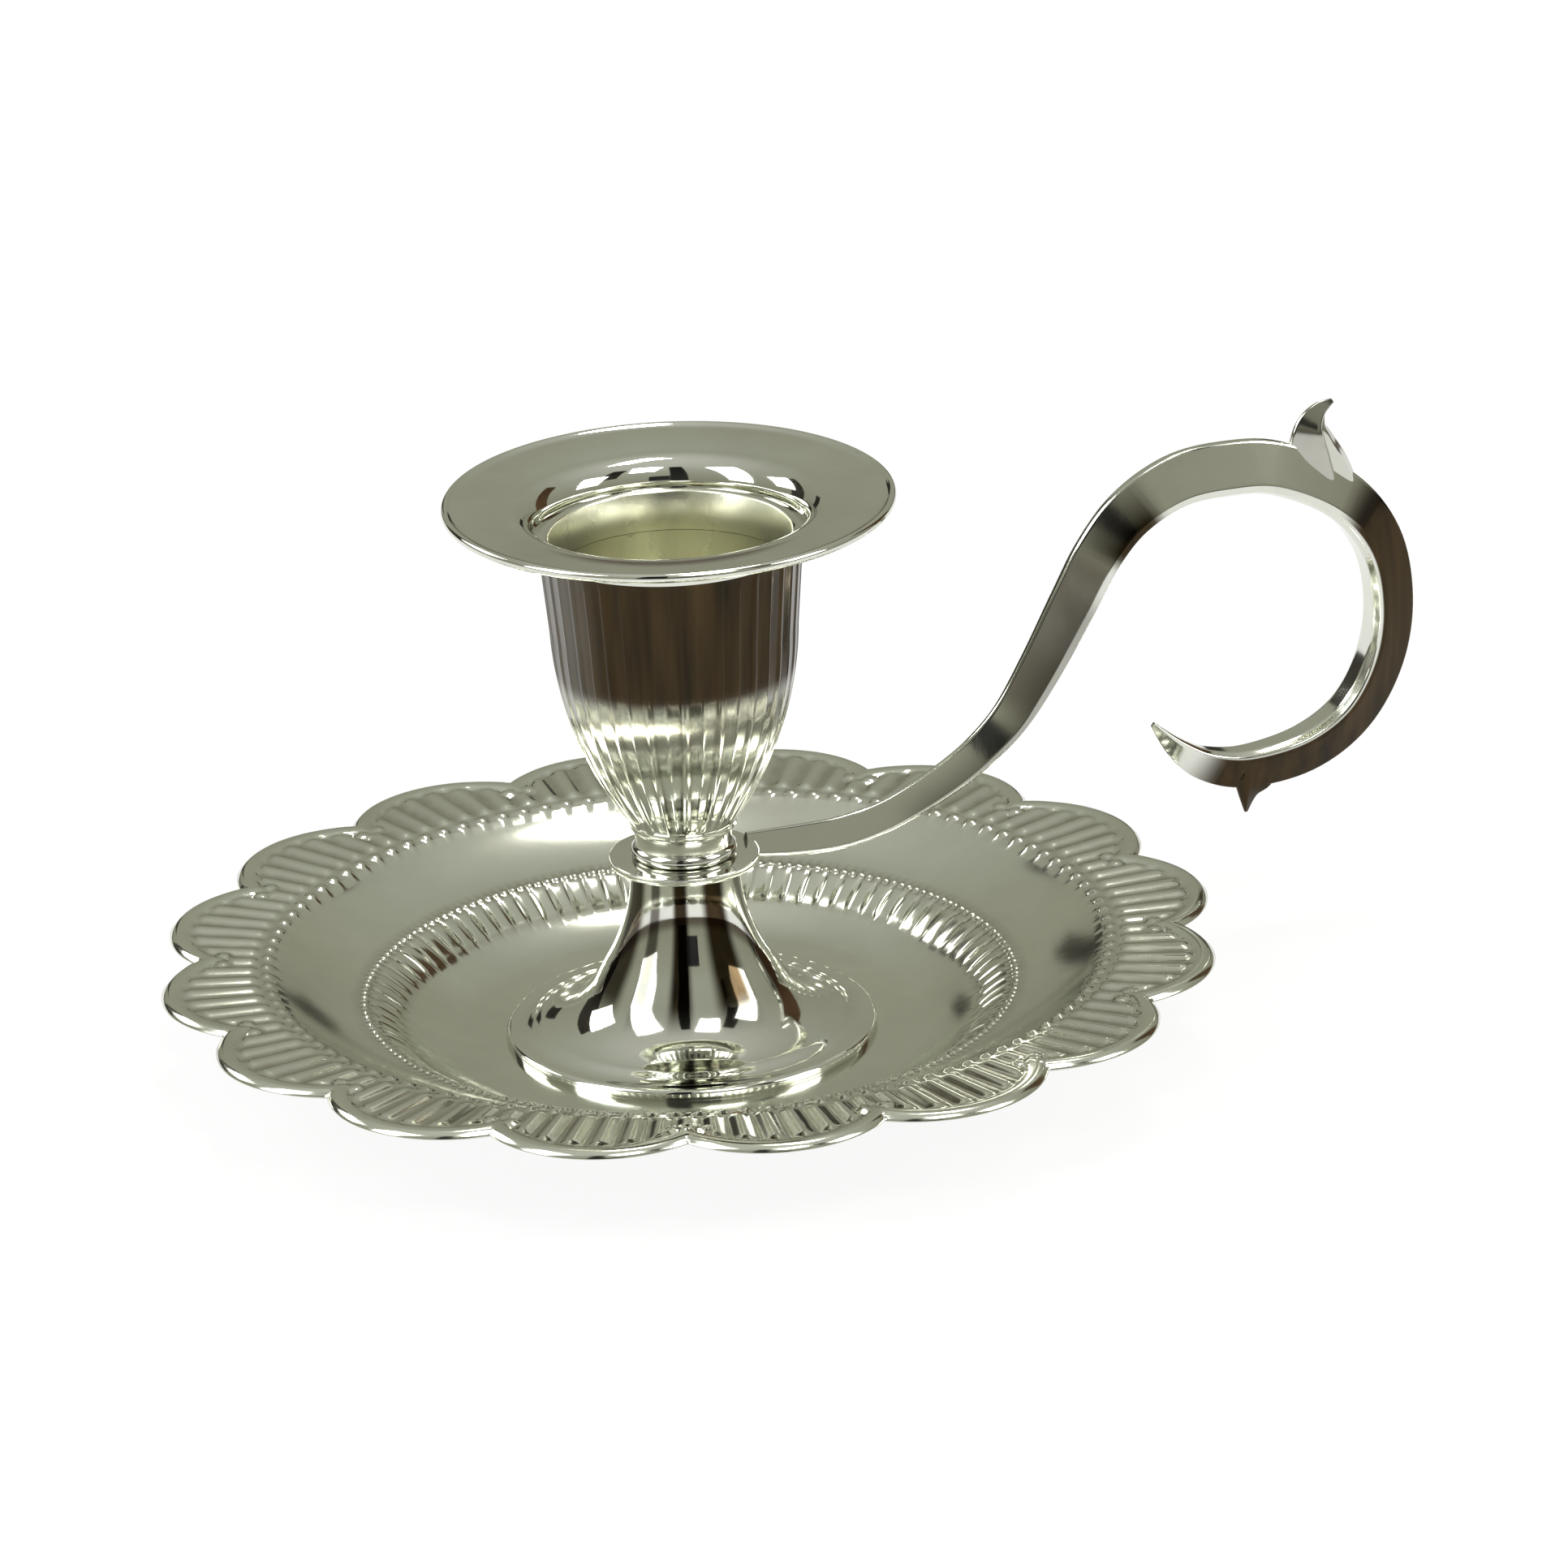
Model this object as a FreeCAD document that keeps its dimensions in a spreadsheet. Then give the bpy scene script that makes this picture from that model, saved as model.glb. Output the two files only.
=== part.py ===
import FreeCAD, Part
import math
import os
import Sketcher

# Chamberstick with finger loop: a scalloped tray, a trumpet pedestal, a cast scroll handle, a fluted
# candle cup and a lift-off drip pan, held together by one screw from below.
# Millimetres, +Z up. The origin is on the cup's axis, in the plane that the tray stands on.
# The handle runs along +X, over a notch between two lobes of the tray.

os.makedirs("parts", exist_ok=True)
doc = FreeCAD.newDocument("chamberstick")

# Driving sizes

SIZES = [
    # tray
    ("tray_radius", 49.7),
    ("tray_notch_depth", 3.5),
    ("lobe_count", 16),
    ("tray_sheet", 0.6),
    ("dish_radius", 27.0),
    ("dish_slope_width", 5.0),
    ("dish_rise", 2.0),
    ("dish_sweep_radius", 12.0),
    ("gadroon_length", 2.9),
    ("gadroon_rise", 2.1),
    ("bead_ring_width", 1.1),
    ("bead_ring_rise", 0.3),
    ("band_outer_radius", 38.7),
    ("band_rise", 3.5),
    ("band_sweep_radius", 20.0),
    ("brim_step_width", 0.9),
    ("brim_step_rise", 0.3),
    ("brim_rise", 0.4),
    ("rim_width", 2.0),
    ("rim_crown_radius", 2.1),
    ("rim_wall", 0.5),
    ("rim_overlap_angle", 9.0),
    ("boss_top_radius", 6.4),
    ("boss_slope_width", 1.2),
    ("boss_rise", 2.6),
    # gadroons and brim flutes
    ("gadroon_count", 100),
    ("gadroon_width", 0.96),
    ("gadroon_sweep_radius", 4.75),
    ("flute_count", 112),
    ("flute_ridge_width", 0.55),
    ("flute_ridge_height", 0.22),
    # pedestal
    ("pedestal_height", 17.0),
    ("pedestal_top_radius", 5.05),
    ("waist_radius", 7.25),
    ("waist_rise", 8.1),
    ("stem_sweep_radius", 18.8),
    ("flare_radius", 8.75),
    ("flare_rise", 5.6),
    ("foot_sweep_radius", 8.0),
    ("flange_inner_radius", 14.4),
    ("flange_inner_rise", 1.5),
    ("flange_slope_width", 2.1),
    ("flange_edge_rise", 0.95),
    ("flange_radius", 17.4),
    ("flange_edge_wall", 0.45),
    ("pedestal_wall", 1.1),
    ("pedestal_top_wall", 1.5),
    # handle
    ("eye_radius", 7.0),
    ("eye_thickness", 0.7),
    ("handle_length", 73.4),
    ("handle_rise", 28.65),
    ("handle_thickness", 4.9),
    ("handle_width", 4.1),
    # candle cup
    ("collar_radius", 4.85),
    ("collar_height", 3.3),
    ("belly_radius", 11.55),
    ("belly_rise", 22.7),
    ("belly_sweep_radius", 35.0),
    ("mouth_radius", 12.3),
    ("mouth_rise", 31.2),
    ("bore_radius", 11.2),
    ("bore_end_rise", 24.7),
    ("cup_floor_rise", 6.7),
    ("cup_floor_radius", 6.0),
    ("cup_ridge_count", 20),
    ("cup_ridge_width", 0.55),
    ("cup_ridge_height", 0.22),
    ("mouth_band", 0.9),
    # drip pan
    ("sleeve_wall", 0.4),
    ("sleeve_depth", 3.1),
    ("sleeve_clearance", 0.1),
    ("sleeve_end_gap", 0.2),
    ("seat_thickness", 0.6),
    ("throat_radius", 12.3),
    ("throat_sweep_radius", 2.6),
    ("pan_radius", 21.0),
    ("pan_sheet", 0.6),
    ("pan_rise", 0.6),
    ("pan_bead_radius", 0.45),
    # screw, washer and nut
    ("screw_radius", 2.0),
    ("screw_hole_radius", 2.2),
    ("screw_head_radius", 3.6),
    ("screw_head_height", 1.5),
    ("screw_tip_length", 0.9),
    ("slot_width", 1.0),
    ("slot_depth", 0.7),
    ("washer_radius", 5.0),
    ("washer_thickness", 0.5),
    ("nut_corner_radius", 4.04),
    ("nut_height", 3.2),
    ("nut_clearance", 0.05),
]

# Radii and heights that follow from the sizes above

LEVELS = [
    ("eye_bottom", "tray_sheet + pedestal_height"),
    ("cup_bottom", "eye_bottom + eye_thickness"),
    ("mouth_top", "cup_bottom + mouth_rise"),
    ("cup_floor", "cup_bottom + cup_floor_rise"),
    ("sleeve_radius", "bore_radius + sleeve_wall"),
    ("boss_underside", "boss_rise"),
    ("washer_underside", "boss_underside - washer_thickness"),
    ("screw_top", "cup_floor + nut_height + screw_tip_length"),
    ("floor_radius", "dish_radius - dish_slope_width"),
    ("gadroon_outer_radius", "dish_radius + gadroon_length"),
    ("seat_top", "mouth_top + seat_thickness"),
    ("pan_foot", "seat_top + throat_sweep_radius"),
    ("gadroon_foot", "tray_sheet + dish_rise"),
    ("gadroon_top", "gadroon_foot + gadroon_rise"),
    ("band_foot", "gadroon_top + bead_ring_rise"),
    ("band_top", "band_foot + band_rise"),
    ("brim_foot", "band_top + brim_step_rise"),
    ("brim_inner_radius", "band_outer_radius + brim_step_width"),
    ("tray_notch_radius", "tray_radius - tray_notch_depth"),
    ("lobe_half_width", "tray_notch_radius * sin(180 / lobe_count)"),
    ("lobe_depth", "tray_radius - tray_notch_radius * cos(180 / lobe_count)"),
    ("lobe_radius", "(lobe_half_width ^ 2 + lobe_depth ^ 2) / (2 * lobe_depth)"),
    ("lobe_centre_radius", "tray_radius - lobe_radius"),
    ("rim_top_edge", "brim_foot + brim_rise"),
]

sheet = doc.addObject("Spreadsheet::Sheet", "Sizes")
row = 0
for name, content in SIZES + LEVELS:
    row += 1
    sheet.set(f"A{row}", name)
    sheet.set(f"B{row}", f"={content}" if isinstance(content, str) else str(content))
    sheet.setAlias(f"B{row}", name)
doc.recompute()

outline_cells = 0


def size(name):
    return float(sheet.get(name))


def worked_out(formula):
    """Put a formula of named sizes in its own cell and return the cell's address and its number."""
    global outline_cells
    outline_cells += 1
    cell = f"D{outline_cells}"
    sheet.set(cell, f"={formula}")
    sheet.recompute()
    return cell, float(sheet.get(cell))


def set_size(feature, property_name, formula):
    """Bind one property to a formula of named sizes."""
    cell, number = worked_out(formula)
    feature.setExpression(property_name, f"Sizes.{cell}")
    return number


def new_body(name):
    body = doc.addObject("PartDesign::Body", name)
    body.Label = name
    return body


def origin_part(body, role):
    """One of the body's own origin planes or axes."""
    return next(f for f in body.Origin.OriginFeatures if f.Role == role)


def new_sketch(body, role, name):
    """Sketch on one of the body's own origin planes."""
    sketch = body.newObject("Sketcher::SketchObject", name)
    sketch.AttachmentSupport = [(origin_part(body, role), "")]
    sketch.MapMode = "FlatFace"
    return sketch


def bound(sketch, kind, where, formula):
    """Add one dimension to a sketch and bind it to a formula of named sizes."""
    cell, number = worked_out(formula)
    index = sketch.addConstraint(Sketcher.Constraint(kind, *where, number))
    label = f"{kind.lower()}_{index}"
    sketch.renameConstraint(index, label)
    sketch.setExpression(f"Constraints.{label}", f"Sizes.{cell}")


def outline(sketch, corners, arcs=None):
    """Closed outline through corners, each a pair of formulas.

    arcs gives the sides that are arcs: side number to radius formula and turn, where turn 1 runs
    anticlockwise from the side's first corner to its second and -1 clockwise.
    """
    arcs = arcs or {}
    spots = [FreeCAD.Vector(worked_out(x)[1], worked_out(y)[1], 0) for x, y in corners]
    ends = []
    for side, first in enumerate(spots):
        second = spots[(side + 1) % len(spots)]
        if side not in arcs:
            sketch.addGeometry(Part.LineSegment(first, second), False)
            ends.append((1, 2))
            continue
        formula, turn = arcs[side]
        radius = worked_out(formula)[1]
        half = (second - first) * 0.5
        left = FreeCAD.Vector(-half.y, half.x, 0).normalize()
        centre = first + half + left * (turn * math.sqrt(max(radius**2 - half.Length**2, 0)))
        begin, finish = (first, second) if turn > 0 else (second, first)
        angles = [math.atan2(end.y - centre.y, end.x - centre.x) for end in (begin, finish)]
        circle = Part.Circle(centre, FreeCAD.Vector(0, 0, 1), radius)
        sketch.addGeometry(Part.ArcOfCircle(circle, *angles), False)
        ends.append((1, 2) if turn > 0 else (2, 1))
    for side, (x, y) in enumerate(corners):
        following = (side + 1) % len(corners)
        joint = (side, ends[side][1], following, ends[following][0])
        sketch.addConstraint(Sketcher.Constraint("Coincident", *joint))
        corner = (side, ends[side][0])
        if x == "0":
            sketch.addConstraint(Sketcher.Constraint("PointOnObject", *corner, -2))
        else:
            bound(sketch, "DistanceX", (-1, 1, *corner), x)
        if y == "0":
            sketch.addConstraint(Sketcher.Constraint("PointOnObject", *corner, -1))
        else:
            bound(sketch, "DistanceY", (-1, 1, *corner), y)
    for side, (formula, turn) in arcs.items():
        bound(sketch, "Radius", (side,), formula)


def turned(body, name, corners, arcs=None):
    """Turn an outline in the XZ plane round the body's Z axis."""
    sketch = new_sketch(body, "XZ_Plane", f"{name}_outline")
    outline(sketch, corners, arcs)
    feature = body.newObject("PartDesign::Revolution", name)
    feature.Profile = (sketch, [""])
    feature.ReferenceAxis = (sketch, ["V_Axis"])
    feature.Angle = 360
    return feature


def ridges(body, name, corners, arcs, width, count):
    """Thin rib on an outline in the XZ plane, repeated all round the Z axis."""
    sketch = new_sketch(body, "XZ_Plane", f"{name}_outline")
    outline(sketch, corners, arcs)
    rib = body.newObject("PartDesign::Pad", name)
    rib.Profile = (sketch, [""])
    rib.Midplane = True
    set_size(rib, "Length", width)
    return round_pattern(body, f"{name}_pattern", rib, (sketch, ["V_Axis"]), count)


def round_pattern(body, name, feature, axis, count):
    """Repeat a feature all round an axis."""
    pattern = body.newObject("PartDesign::PolarPattern", name)
    pattern.Originals = [feature]
    pattern.Axis = axis
    pattern.Angle = 360
    set_size(pattern, "Occurrences", count)
    body.Tip = pattern
    return pattern


# Tray: a pressed sheet with a dished floor, a sloping gadroon ring, a plain hollow band, a fluted brim
# cut to round lobes and a raised moulding along the lobes' edge. The boss in the middle lifts the sheet
# over the screw's head and is hidden in the pedestal.

TRAY_TOP = [
    ("screw_hole_radius", "boss_underside"),
    ("boss_top_radius", "boss_underside"),
    ("boss_top_radius + boss_slope_width", "0"),
    ("floor_radius", "0"),
    ("dish_radius", "dish_rise"),
    ("gadroon_outer_radius", "gadroon_top - tray_sheet"),
    ("gadroon_outer_radius + bead_ring_width", "band_foot - tray_sheet"),
    ("band_outer_radius", "band_top - tray_sheet"),
    ("brim_inner_radius", "brim_foot - tray_sheet"),
    ("tray_radius", "rim_top_edge - tray_sheet"),
]

tray_sheet_body = new_body("tray_pressing")
raised = [(x, f"{y} + tray_sheet") for x, y in reversed(TRAY_TOP)]
sweeps = {3: ("dish_sweep_radius", 1), 6: ("band_sweep_radius", 1)}
top_sweeps = {2 * len(TRAY_TOP) - 2 - side: (r, -turn) for side, (r, turn) in sweeps.items()}
turned(tray_sheet_body, "tray_turned", TRAY_TOP + raised, {**sweeps, **top_sweeps})
GADROON = [
    ("dish_radius", "gadroon_foot - tray_sheet / 2"),
    ("gadroon_outer_radius", "gadroon_top - tray_sheet / 2"),
    ("gadroon_outer_radius", "gadroon_top"),
    ("dish_radius", "gadroon_foot"),
]
GADROON_ARCS = {2: ("gadroon_sweep_radius", 1)}
ridges(tray_sheet_body, "tray_gadroon", GADROON, GADROON_ARCS, "gadroon_width", "gadroon_count")
FLUTE_RIDGE = [
    ("brim_inner_radius", "brim_foot - tray_sheet / 2"),
    ("tray_radius - rim_width / 2", "rim_top_edge - tray_sheet / 2"),
    ("tray_radius - rim_width / 2", "rim_top_edge + flute_ridge_height"),
    ("brim_inner_radius", "brim_foot + flute_ridge_height"),
]
ridges(tray_sheet_body, "tray_flute_ridge", FLUTE_RIDGE, {}, "flute_ridge_width", "flute_count")

lobes = new_body("tray_lobes")
core_sketch = new_sketch(lobes, "XY_Plane", "tray_core_circle")
core_circle = Part.Circle(FreeCAD.Vector(), FreeCAD.Vector(0, 0, 1), size("band_outer_radius"))
core_sketch.addGeometry(core_circle, False)
core_sketch.addConstraint(Sketcher.Constraint("Coincident", 0, 3, -1, 1))
bound(core_sketch, "Radius", (0,), "band_outer_radius")
core = lobes.newObject("PartDesign::Pad", "tray_core")
core.Profile = (core_sketch, [""])
set_size(core, "Length", "tray_radius")
lobe_sketch = new_sketch(lobes, "XY_Plane", "tray_lobe_circle")
lobe_centre = FreeCAD.Vector(size("lobe_centre_radius"), 0, 0)
lobe_circle = Part.Circle(lobe_centre, FreeCAD.Vector(0, 0, 1), size("lobe_radius"))
lobe_sketch.addGeometry(lobe_circle, False)
lobe_sketch.addConstraint(Sketcher.Constraint("PointOnObject", 0, 3, -1))
bound(lobe_sketch, "DistanceX", (-1, 1, 0, 3), "lobe_centre_radius")
bound(lobe_sketch, "Radius", (0,), "lobe_radius - rim_width / 2")
lobe = lobes.newObject("PartDesign::Pad", "tray_lobe")
lobe.Profile = (lobe_sketch, [""])
set_size(lobe, "Length", "tray_radius")
round_pattern(lobes, "tray_lobe_pattern", lobe, (lobe_sketch, ["N_Axis"]), "lobe_count")

rim = new_body("tray_rim")
rim_sketch = new_sketch(rim, "XZ_Plane", "tray_rim_outline")
set_size(rim_sketch, "AttachmentOffset.Base.x", "lobe_centre_radius")
RIM_SECTION = [
    ("lobe_radius - rim_width", "rim_top_edge - rim_wall"),
    ("lobe_radius", "rim_top_edge - rim_wall"),
    ("lobe_radius", "rim_top_edge"),
    ("lobe_radius - rim_width", "rim_top_edge"),
]
outline(rim_sketch, RIM_SECTION, {2: ("rim_crown_radius", 1)})
rim_arc = rim.newObject("PartDesign::Revolution", "tray_rim_arc")
rim_arc.Profile = (rim_sketch, [""])
rim_arc.ReferenceAxis = (rim_sketch, ["V_Axis"])
rim_arc.Midplane = True
set_size(rim_arc, "Angle", "2 * (asin(lobe_half_width / lobe_radius) / 1 deg + rim_overlap_angle)")
round_pattern(rim, "tray_rim_pattern", rim_arc, (origin_part(rim, "Z_Axis"), [""]), "lobe_count")

tray_cut = doc.addObject("Part::MultiCommon", "tray_scalloped")
tray_cut.Shapes = [tray_sheet_body, lobes]
tray = doc.addObject("Part::MultiFuse", "tray")
tray.Shapes = [tray_cut, rim]
tray.Label = "tray"
set_size(tray, "Placement.Rotation.Angle", "180 / lobe_count")

# Pedestal: a hollow trumpet with a wide flange that stands on the tray

pedestal = new_body("pedestal")
PEDESTAL = [
    ("screw_hole_radius", "eye_bottom"),
    ("screw_hole_radius", "eye_bottom - pedestal_top_wall"),
    ("pedestal_top_radius - pedestal_wall", "eye_bottom - pedestal_top_wall"),
    ("waist_radius - pedestal_wall", "tray_sheet + waist_rise - pedestal_wall / 2"),
    ("flare_radius - pedestal_wall", "tray_sheet + flare_rise - pedestal_wall / 2"),
    ("flange_inner_radius - pedestal_wall", "tray_sheet"),
    ("flange_radius", "tray_sheet"),
    ("flange_radius", "tray_sheet + flange_edge_wall"),
    ("flange_radius - flange_edge_wall", "tray_sheet + flange_edge_rise"),
    ("flange_inner_radius + flange_slope_width", "tray_sheet + flange_edge_rise"),
    ("flange_inner_radius", "tray_sheet + flange_inner_rise"),
    ("flare_radius", "tray_sheet + flare_rise"),
    ("waist_radius", "tray_sheet + waist_rise"),
    ("pedestal_top_radius", "eye_bottom"),
]
PEDESTAL_ARCS = {
    2: ("stem_sweep_radius", 1),
    4: ("foot_sweep_radius", 1),
    7: ("flange_edge_wall + pedestal_wall / 8", 1),
    10: ("foot_sweep_radius", -1),
    12: ("stem_sweep_radius", -1),
}
turned(pedestal, "pedestal_turned", PEDESTAL, PEDESTAL_ARCS)

# Candle cup: a belly on a plain collar, with upright ridges between its flutes. Its mouth has a
# recess for the drip pan's sleeve.

cup = new_body("candle_cup")
CUP = [
    ("screw_hole_radius", "cup_bottom"),
    ("collar_radius", "cup_bottom"),
    ("collar_radius", "cup_bottom + collar_height"),
    ("belly_radius", "cup_bottom + belly_rise"),
    ("mouth_radius", "mouth_top"),
    ("sleeve_radius + sleeve_clearance", "mouth_top"),
    ("sleeve_radius + sleeve_clearance", "mouth_top - sleeve_depth - sleeve_end_gap"),
    ("bore_radius", "mouth_top - sleeve_depth - sleeve_end_gap"),
    ("bore_radius", "cup_bottom + bore_end_rise"),
    ("cup_floor_radius", "cup_floor"),
    ("screw_hole_radius", "cup_floor"),
]
turned(cup, "cup_turned", CUP, {2: ("belly_sweep_radius", 1), 8: ("belly_sweep_radius", -1)})
RIDGE = [
    ("collar_radius", "cup_bottom + collar_height"),
    ("belly_radius + cup_ridge_height", "cup_bottom + belly_rise"),
    ("mouth_radius + cup_ridge_height / 2", "mouth_top - mouth_band"),
    ("mouth_radius - cup_ridge_height", "mouth_top - mouth_band"),
    ("belly_radius - cup_ridge_height", "cup_bottom + belly_rise"),
    ("collar_radius", "cup_bottom + collar_height + 2 * cup_ridge_height"),
]
RIDGE_ARCS = {0: ("belly_sweep_radius", 1), 4: ("belly_sweep_radius", -1)}
ridges(cup, "cup_ridge", RIDGE, RIDGE_ARCS, "cup_ridge_width", "cup_ridge_count")

# Drip pan: a flared pan with a beaded edge, a rounded throat and a short sleeve in the cup's mouth

pan = new_body("drip_pan")
PAN = [
    ("bore_radius", "mouth_top - sleeve_depth"),
    ("sleeve_radius", "mouth_top - sleeve_depth"),
    ("sleeve_radius", "mouth_top"),
    ("throat_radius + pan_sheet", "mouth_top"),
    ("throat_radius + pan_sheet", "seat_top"),
    ("throat_radius + throat_sweep_radius", "pan_foot - pan_sheet"),
    ("pan_radius - pan_bead_radius", "pan_foot"),
    ("pan_radius", "pan_foot + pan_bead_radius"),
    ("pan_radius - pan_bead_radius", "pan_foot + 2 * pan_bead_radius"),
    ("pan_radius - 2 * pan_bead_radius", "pan_foot + pan_rise"),
    ("throat_radius + throat_sweep_radius", "pan_foot"),
    ("throat_radius", "seat_top"),
    ("bore_radius", "seat_top"),
]
PAN_ARCS = {
    4: ("throat_sweep_radius - pan_sheet", -1),
    6: ("pan_bead_radius", 1),
    7: ("pan_bead_radius", 1),
    10: ("throat_sweep_radius", 1),
}
turned(pan, "pan_turned", PAN, PAN_ARCS)

# Screw, washer and nut on the axis

screw = new_body("centre_screw")
SCREW = [
    ("0", "washer_underside - screw_head_height"),
    ("screw_head_radius", "washer_underside - screw_head_height"),
    ("screw_head_radius", "washer_underside"),
    ("screw_radius", "washer_underside"),
    ("screw_radius", "screw_top"),
    ("0", "screw_top"),
]
screw_turned = turned(screw, "screw_turned", SCREW)
slot_sketch = new_sketch(screw, "XZ_Plane", "screw_slot_outline")
SLOT = [
    ("0", "washer_underside - screw_head_height"),
    ("slot_width / 2", "washer_underside - screw_head_height"),
    ("slot_width / 2", "washer_underside - screw_head_height + slot_depth"),
    ("0", "washer_underside - screw_head_height + slot_depth"),
]
outline(slot_sketch, SLOT)
slot = screw.newObject("PartDesign::Pocket", "screw_slot_half")
slot.Profile = (slot_sketch, [""])
slot.Type = "ThroughAll"
slot.Midplane = True
round_pattern(screw, "screw_slot", slot, (slot_sketch, ["V_Axis"]), "2")

washer = new_body("base_washer")
WASHER = [
    ("screw_hole_radius", "washer_underside"),
    ("washer_radius", "washer_underside"),
    ("washer_radius", "boss_underside"),
    ("screw_hole_radius", "boss_underside"),
]
turned(washer, "washer_turned", WASHER)

nut_block = doc.addObject("Part::Prism", "nut_block")
nut_block.Polygon = 6
set_size(nut_block, "Circumradius", "nut_corner_radius")
set_size(nut_block, "Height", "nut_height")
nut_hole = doc.addObject("Part::Cylinder", "nut_hole")
set_size(nut_hole, "Radius", "screw_radius + nut_clearance")
set_size(nut_hole, "Height", "nut_height")
nut = doc.addObject("Part::Cut", "cup_nut")
nut.Base = nut_block
nut.Tool = nut_hole
nut.Label = "cup_nut"
set_size(nut, "Placement.Base.z", "cup_floor")

# Handle: an eye under the cup, a bar that sweeps out and up into an open round scroll, a thumb spur on
# the scroll's back and a small thorn under it. Its route lies in the XZ plane.

# Stations along the bar: share of the length from the axis, share of the rise above the eye, share of
# the full thickness.
ROUTE_SHARES = [
    (0.084, 0.000, 0.46),
    (0.150, -0.016, 0.58),
    (0.211, -0.021, 0.62),
    (0.266, 0.000, 0.62),
    (0.313, 0.040, 0.63),
    (0.368, 0.104, 0.65),
    (0.413, 0.176, 0.68),
    (0.456, 0.274, 0.75),
    (0.499, 0.428, 0.84),
    (0.548, 0.634, 0.92),
    (0.584, 0.784, 0.94),
    (0.629, 0.906, 0.98),
    (0.692, 0.986, 1.02),
    (0.760, 1.000, 1.04),
    (0.838, 0.970, 1.02),
    (0.930, 0.836, 0.98),
    (0.984, 0.651, 0.96),
    (1.000, 0.431, 0.95),
    (0.986, 0.225, 0.95),
    (0.943, 0.051, 0.93),
    (0.875, -0.047, 0.92),
    (0.790, -0.070, 0.82),
    (0.730, -0.030, 0.65),
    (0.689, 0.047, 0.42),
    (0.657, 0.145, 0.10),
]
# Thumb spur and thorn: shares of the length and of the rise, then shares of the full thickness in the
# bar's plane and across it.
SPUR_SHARES = [
    (0.915, 0.900, 1.25, 0.85),
    (0.906, 1.020, 0.95, 0.62),
    (0.908, 1.110, 0.62, 0.42),
    (0.922, 1.165, 0.12, 0.12),
]
THORN_SHARES = [
    (0.796, -0.085, 1.10, 0.60),
    (0.790, -0.170, 0.42, 0.30),
    (0.787, -0.225, 0.08, 0.08),
]
# A section is a long diamond with its corners cut off: shares of its thickness and of its width.
SECTION_SHARES = [
    (0.50, 0.10),
    (0.16, 0.50),
    (-0.16, 0.50),
    (-0.50, 0.10),
    (-0.50, -0.10),
    (-0.16, -0.50),
    (0.16, -0.50),
    (0.50, -0.10),
]


def bar_point(length_share, rise_share):
    middle = size("eye_bottom") + size("eye_thickness") / 2
    return FreeCAD.Vector(length_share * size("handle_length"), 0, middle + rise_share * size("handle_rise"))


def bar_section(centre, along, thickness, width):
    """Closed wire square to the route, in the bar's section shape."""
    outward = FreeCAD.Vector(0, 1, 0).cross(along).normalize()
    across = FreeCAD.Vector(0, 1, 0)
    points = [centre + outward * (t * thickness) + across * (w * width) for t, w in SECTION_SHARES]
    return Part.makePolygon(points + points[:1])


def lofted(name, centres, tangents, thicknesses, widths):
    """Solid through the sections at the given stations."""
    sections = [bar_section(*station) for station in zip(centres, tangents, thicknesses, widths)]
    feature = doc.addObject("Part::Feature", name)
    feature.Shape = Part.makeLoft(sections, True, False)
    feature.Placement = FreeCAD.Placement()
    return feature


full = size("handle_thickness")
broad = size("handle_width")

route_points = [bar_point(u, v) for u, v, t in ROUTE_SHARES]
route = Part.BSplineCurve()
route.interpolate(route_points)
route_tangents = [route.tangent(route.parameter(point))[0] for point in route_points]
route_thick = [t * full for u, v, t in ROUTE_SHARES]
route_broad = [t * broad for u, v, t in ROUTE_SHARES]
bar = lofted("handle_bar", route_points, route_tangents, route_thick, route_broad)


def horn(name, shares):
    """Small pointed horn through its own few stations."""
    points = [bar_point(u, v) for u, v, t, w in shares]
    curve = Part.BSplineCurve()
    curve.interpolate(points)
    tangents = [curve.tangent(curve.parameter(point))[0] for point in points]
    thick = [t * full for u, v, t, w in shares]
    wide = [w * full for u, v, t, w in shares]
    return lofted(name, points, tangents, thick, wide)


spur = horn("handle_spur", SPUR_SHARES)
thorn = horn("handle_thorn", THORN_SHARES)

eye = doc.addObject("Part::Cylinder", "handle_eye")
set_size(eye, "Radius", "eye_radius")
set_size(eye, "Height", "eye_thickness")
set_size(eye, "Placement.Base.z", "eye_bottom")
eye_hole = doc.addObject("Part::Cylinder", "handle_eye_hole")
set_size(eye_hole, "Radius", "screw_hole_radius")
set_size(eye_hole, "Height", "3 * eye_thickness")
set_size(eye_hole, "Placement.Base.z", "eye_bottom - eye_thickness")
handle_whole = doc.addObject("Part::MultiFuse", "handle_whole")
handle_whole.Shapes = [bar, spur, thorn, eye]
handle = doc.addObject("Part::Cut", "handle")
handle.Base = handle_whole
handle.Tool = eye_hole
handle.Label = "handle"

doc.recompute()

PIECES = [tray, pedestal, handle, cup, pan, screw, washer, nut]

faults = []
for item in doc.Objects:
    if "Invalid" in item.State or "Error" in item.State:
        faults.append(f"{item.Name}: {item.State}")
for piece in PIECES:
    shape = piece.Shape
    if shape.isNull() or not shape.isValid() or len(shape.Solids) != 1:
        faults.append(f"{piece.Label}: not one valid solid")
if faults:
    raise RuntimeError("; ".join(faults))

for piece in PIECES:
    piece.Shape.exportStep(f"parts/{piece.Label}.step")
    print(f"{piece.Label}: {piece.Shape.Volume:.0f} mm3, {len(piece.Shape.Faces)} faces")
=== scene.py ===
"""Chamberstick with finger loop: silver-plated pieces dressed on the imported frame.

Shapes are written in millimetres and made in metres. Outlines are lists of (radius, height)."""

import math

import bpy
from mathutils import Matrix, Vector


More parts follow.
